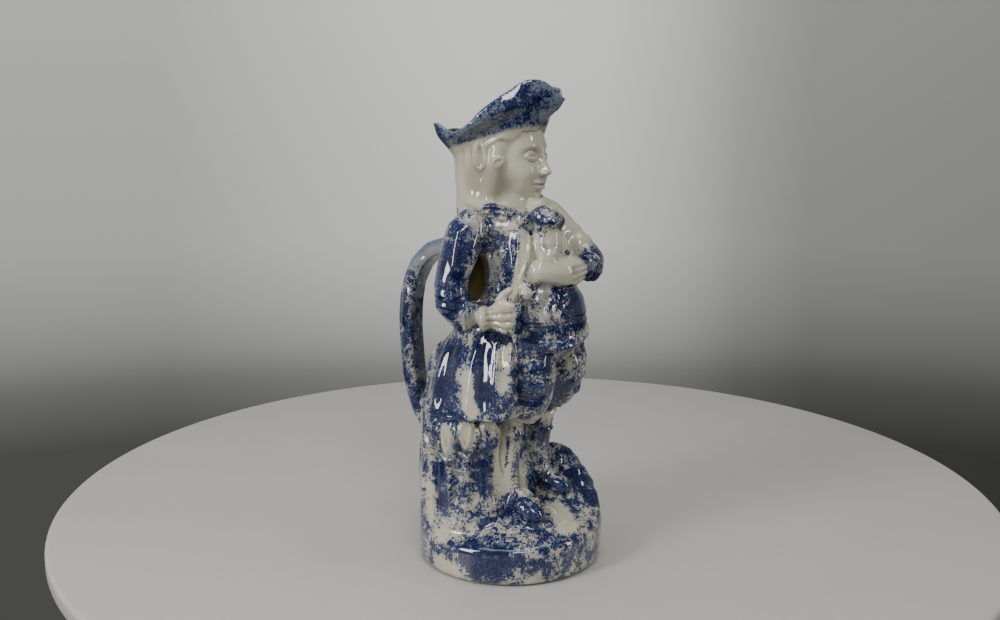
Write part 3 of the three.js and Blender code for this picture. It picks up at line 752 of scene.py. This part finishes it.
class Nodes:
    """Small helper that adds shader nodes and joins them."""

    def __init__(self, material):
        material.use_nodes = True
        self.tree = material.node_tree
        self.tree.nodes.clear()
        self.place = self.add("ShaderNodeTexCoord").outputs["Object"]

    def add(self, kind, **settings):
        node = self.tree.nodes.new(kind)
        for name, value in settings.items():
            setattr(node, name, value)
        return node

    def join(self, source, socket):
        if isinstance(source, (int, float, tuple)):
            socket.default_value = source
        else:
            self.tree.links.new(source, socket)

    def sum(self, operation, *values):
        node = self.add("ShaderNodeMath", operation=operation)
        for value, socket in zip(values, node.inputs):
            self.join(value, socket)
        return node.outputs[0]

    def noise(self, cell, detail=3.0, rough=0.55, twist=0.0, shift=0.0):
        """Noise whose blotches are about a cell across, in millimetres."""
        moved = self.add("ShaderNodeMapping")
        moved.inputs["Location"].default_value = (shift, shift * 0.7, -shift * 1.3)
        self.join(self.place, moved.inputs["Vector"])
        node = self.add("ShaderNodeTexNoise")
        self.join(moved.outputs[0], node.inputs["Vector"])
        for name, value in (("Scale", 1 / (cell * MM)), ("Detail", detail), ("Roughness", rough),
                            ("Distortion", twist)):
            node.inputs[name].default_value = value
        return node.outputs["Fac"]

    def value(self, name):
        return self.add("ShaderNodeAttribute", attribute_name=name).outputs["Fac"]

    def step(self, value, low, high):
        """0 below low and 1 above high, smooth between."""
        node = self.add("ShaderNodeMapRange", interpolation_type="SMOOTHSTEP")
        self.join(value, node.inputs["Value"])
        self.join(low, node.inputs["From Min"])
        self.join(high, node.inputs["From Max"])
        return node.outputs["Result"]

    def blend(self, share, first, second):
        node = self.add("ShaderNodeMix", data_type="RGBA")
        self.join(share, node.inputs["Factor"])
        for colour, name in ((first, "A"), (second, "B")):
            socket = [s for s in node.inputs if s.name == name and s.type == "RGBA"][0]
            self.join((*colour, 1) if isinstance(colour, tuple) else colour, socket)
        return [s for s in node.outputs if s.type == "RGBA"][0]


def glaze_material(colours):
    """Cream glaze with sponged cobalt under it: a thin wash, broken dabs and navy specks."""
    material = bpy.data.materials.new(GLAZE)
    n = Nodes(material)
    cream, shade_colour, wash, cobalt, navy = (
        tuple(c) for c in (colours.cream, colours.shade_colour, colours.wash, colours.cobalt, colours.navy))
    blue = n.value(COBALT)
    cloud, blotch = n.noise(11, 2, 0.5, 0.4), n.noise(4, 3, 0.6, 0.6, 0.31)
    fleck, grain = n.noise(1.5, 2, 0.65, 0.4, 0.77), n.noise(1.05, 1.5, 0.6, 0.2, 0.13)
    # how much cobalt lands here: the sponge's own clouds and blotches over the painted amount
    load = n.sum("MULTIPLY_ADD", n.sum("MULTIPLY_ADD", cloud, 1.5, n.sum("MULTIPLY_ADD", blotch, 1.2, -1.35)),
                 n.step(blue, 0.0, 0.16), blue)
    body = n.blend(n.step(n.noise(22, 2, 0.5, 0, 0.5), 0.35, 0.7), cream,
                   tuple(a * b for a, b in zip(cream, (0.88, 0.90, 0.95))))
    # painted shade: the cream turns dark brown in the hollows and recesses
    shade_share = n.value(PAINTED_SHADE)
    body = n.blend(shade_share, body, shade_colour)
    thin = n.sum("MULTIPLY_ADD", n.step(load, 0.50, 0.86), 0.62,
                 n.sum("MULTIPLY", n.step(load, 0.12, 0.5), 0.3))
    # the thin wash, which on the handle's top is partly painted shade and on the hanging fold partly a
    # painted highlight
    thin = n.sum("MAXIMUM", thin, n.value(MIST))
    washed = n.blend(thin, body, wash)
    torn = n.sum("MULTIPLY_ADD", fleck, 2.4, n.sum("ADD", load, -1.2))
    sponged = n.blend(n.step(torn, 0.52, 0.74), washed, cobalt)
    specks = n.sum("MULTIPLY_ADD", grain, 2.6, n.sum("MULTIPLY_ADD", load, 0.8, -1.3))
    specks = n.sum("MULTIPLY", n.step(specks, 0.68, 0.82), n.step(blue, 0.02, 0.1))
    colour = n.blend(specks, sponged, navy)
    shader = n.add("ShaderNodeBsdfPrincipled")
    n.join(colour, shader.inputs["Base Color"])
    for name, value in (("Roughness", colours.gloss), ("IOR", 1.5), ("Specular IOR Level", 0.15),
                        ("Coat Weight", 1.0), ("Coat Roughness", 0.035), ("Coat IOR", 1.55)):
        shader.inputs[name].default_value = value
    ripple = n.add("ShaderNodeBump")
    ripple.inputs["Strength"].default_value = 0.16
    ripple.inputs["Distance"].default_value = 0.35 * MM
    n.join(n.sum("ADD", n.noise(3.4, 2, 0.5, 0, 0.9), n.sum("MULTIPLY", blotch, 0.4)),
           ripple.inputs["Height"])
    n.join(ripple.outputs["Normal"], shader.inputs["Normal"])
    out = n.add("ShaderNodeOutputMaterial")
    n.join(shader.outputs[0], out.inputs["Surface"])
    return material


# ---------------------------------------------------------------- stage


def soft_light(name, place, aim, size, power, tall=None):
    """A soft panel of light, pointed at a place."""
    bpy.ops.object.light_add(type="AREA", location=place)
    light = bpy.context.object
    light.name = name
    light.data.shape = "RECTANGLE"
    light.data.size, light.data.size_y = size, tall or size
    light.data.energy = power
    light.rotation_euler = (Vector(aim) - Vector(place)).to_track_quat("-Z", "Y").to_euler()


def make_table(radius, middle):
    """The round pale table top that the jug stands on."""
    thick = TABLE_THICK * MM
    bpy.ops.object.select_all(action="DESELECT")
    bpy.ops.mesh.primitive_cylinder_add(
        vertices=192, radius=radius, depth=thick, location=(middle.x, middle.y, -thick / 2))
    table = bpy.context.object
    table.name = "table_top"
    bpy.ops.object.transform_apply(location=True, rotation=True, scale=True)
    applied(table, "BEVEL", width=3 * MM, segments=3, limit_method="ANGLE")
    bpy.ops.object.shade_smooth_by_angle(angle=math.radians(40))
    material = bpy.data.materials.new("pale_table")
    n = Nodes(material)
    colour = n.blend(n.noise(60, 3, 0.5), (0.41, 0.40, 0.375), (0.45, 0.44, 0.415))
    shader = n.add("ShaderNodeBsdfPrincipled")
    n.join(colour, shader.inputs["Base Color"])
    shader.inputs["Roughness"].default_value = 0.42
    out = n.add("ShaderNodeOutputMaterial")
    n.join(shader.outputs[0], out.inputs["Surface"])
    table.data.materials.append(material)
    return table


def ramp_along(tree, place, direction, start, stops):
    """Greys that change along a direction, from pairs of position and shade."""
    along = tree.nodes.new("ShaderNodeVectorMath")
    along.operation = "DOT_PRODUCT"
    along.inputs[1].default_value = direction
    tree.links.new(place, along.inputs[0])
    shift = tree.nodes.new("ShaderNodeMath")
    shift.operation = "ADD"
    shift.inputs[1].default_value = start
    tree.links.new(along.outputs["Value"], shift.inputs[0])
    ramp = tree.nodes.new("ShaderNodeValToRGB")
    tree.links.new(shift.outputs[0], ramp.inputs[0])
    bands = ramp.color_ramp
    for element, (position, shade) in zip(bands.elements, (stops[0], stops[-1])):
        element.position, element.color = position, (shade, shade, shade * 0.985, 1)
    for position, shade in stops[1:-1]:
        bands.elements.new(position).color = (shade, shade, shade * 0.985, 1)
    return ramp.outputs[0]


def make_world():
    """A plain grey surround, darker below the table and to the right."""
    world = bpy.data.worlds.new("grey_surround")
    bpy.context.scene.world = world
    world.use_nodes = True
    tree = world.node_tree
    tree.nodes.clear()
    place = tree.nodes.new("ShaderNodeTexCoord").outputs["Generated"]
    up = ramp_along(tree, place, (0, 0, 0.5), 0.5, (
        (0.36, 0.12), (0.385, 0.235), (0.40, 0.40), (0.418, 0.54), (0.446, 0.70), (0.55, 0.84), (0.60, 0.80),
        (0.68, 0.42)))
    side = ramp_along(tree, place, (0.25, -0.433, 0), 0.5, (
        (0.35, 0.62), (0.43, 0.86), (0.49, 1.0), (0.55, 0.92), (0.585, 0.71), (0.61, 0.49), (0.64, 0.37),
        (0.75, 0.32)))
    both_ways = tree.nodes.new("ShaderNodeMix")
    both_ways.data_type, both_ways.blend_type = "RGBA", "MULTIPLY"
    both_ways.inputs[0].default_value = 1
    sky = tree.nodes.new("ShaderNodeBackground")
    out = tree.nodes.new("ShaderNodeOutputWorld")
    for found, socket in zip((up, side), [i for i in both_ways.inputs if i.type == "RGBA"]):
        tree.links.new(found, socket)
    tree.links.new([o for o in both_ways.outputs if o.type == "RGBA"][0], sky.inputs["Color"])
    tree.links.new(sky.outputs[0], out.inputs["Surface"])


# ---------------------------------------------------------------- operators


class TOBYJUG_OT_stage(bpy.types.Operator):
    """Sets the table, the grey surround, the soft lights and the camera"""

    bl_idname = "tobyjug.stage"
    bl_label = "Set the stage"

    def execute(self, context):
        sizes = context.scene.toby_stage
        towards = Vector((math.sin(sizes.azimuth), -math.cos(sizes.azimuth), 0))
        right = Vector((-towards.y, towards.x, 0))
        up, middle = Vector((0, 0, 1)), Vector((0, 0, 0.14))
        make_table(sizes.table, right * TABLE_ASIDE * MM - towards * sizes.table_back)
        make_world()
        soft_light("window_left", towards * 0.7 - right * 0.93 + up * 0.62, middle, 0.27, 13, tall=0.8)
        soft_light("window_front", towards * 0.9 + right * 0.2 + up * 1.0, middle, 0.42, 5, tall=0.24)
        soft_light("ceiling", up * 1.3, middle, 0.9, 7)
        soft_light("window_right", towards * 0.28 + right * 1.2 + up * 0.45, middle, 0.14, 4, tall=0.8)
        place = towards * sizes.distance + right * sizes.aside + up * sizes.height
        bpy.ops.object.camera_add(location=place)
        camera = context.object
        camera.name = "camera"
        look = -towards * math.cos(sizes.pitch) - up * math.sin(sizes.pitch)
        camera.rotation_euler = look.to_track_quat("-Z", "Y").to_euler()
        camera.data.lens, camera.data.sensor_width = LENS, SENSOR
        camera.data.clip_start = 0.01
        context.scene.camera = camera
        return {"FINISHED"}


class TOBYJUG_OT_jug(bpy.types.Operator):
    """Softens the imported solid, carves it and lays on the sponged glaze"""

    bl_idname = "tobyjug.jug"
    bl_label = "Sculpt and glaze the jug"

    def execute(self, context):
        sizes, colours = context.scene.toby_sizes, context.scene.toby_glaze
        jug = clay_copy()
        applied(jug, "REMESH", mode="VOXEL", voxel_size=sizes.clay_grain, adaptivity=0)
        soften(jug, sizes.soften)
        carve(jug, sizes.relief)
        model_face(jug)
        faces = 2 * len(jug.data.polygons)
        applied(jug, "DECIMATE", ratio=min(1, sizes.triangles / faces), use_collapse_triangulate=True)
        only(jug)
        bpy.ops.object.shade_smooth()
        sponge(jug)
        jug.data.materials.append(glaze_material(colours))
        if len(jug.data.polygons) > sizes.triangles * 1.03:
            raise RuntimeError(f"the jug has {len(jug.data.polygons)} triangles")
        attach(jug, "root")
        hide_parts(NODE)
        return {"FINISHED"}


class TOBYJUG_PT_panel(bpy.types.Panel):
    """The jug's steps, sizes and colours"""

    bl_idname = "TOBYJUG_PT_panel"
    bl_label = "Toby jug"
    bl_space_type = "VIEW_3D"
    bl_region_type = "UI"
    bl_category = "Toby jug"

    def draw(self, context):
        for operator in (TOBYJUG_OT_stage, TOBYJUG_OT_jug):
            self.layout.operator(operator.bl_idname)
        for group in GROUPS:
            box = self.layout.box()
            for name in group[1].__annotations__:
                box.prop(getattr(context.scene, group[0]), name)


GROUPS = (("toby_sizes", JugSizes), ("toby_glaze", GlazeColours), ("toby_stage", StageSizes))
CLASSES = (JugSizes, GlazeColours, StageSizes, TOBYJUG_OT_stage, TOBYJUG_OT_jug, TOBYJUG_PT_panel)


def register():
    for each in CLASSES:
        bpy.utils.register_class(each)
    for name, group in GROUPS:
        setattr(bpy.types.Scene, name, bpy.props.PointerProperty(type=group))


def unregister():
    for name, _ in GROUPS:
        delattr(bpy.types.Scene, name)
    for each in reversed(CLASSES):
        bpy.utils.unregister_class(each)


def main():
    register()
    bpy.ops.tobyjug.stage()
    bpy.ops.tobyjug.jug()


if __name__ == "__main__":
    main()
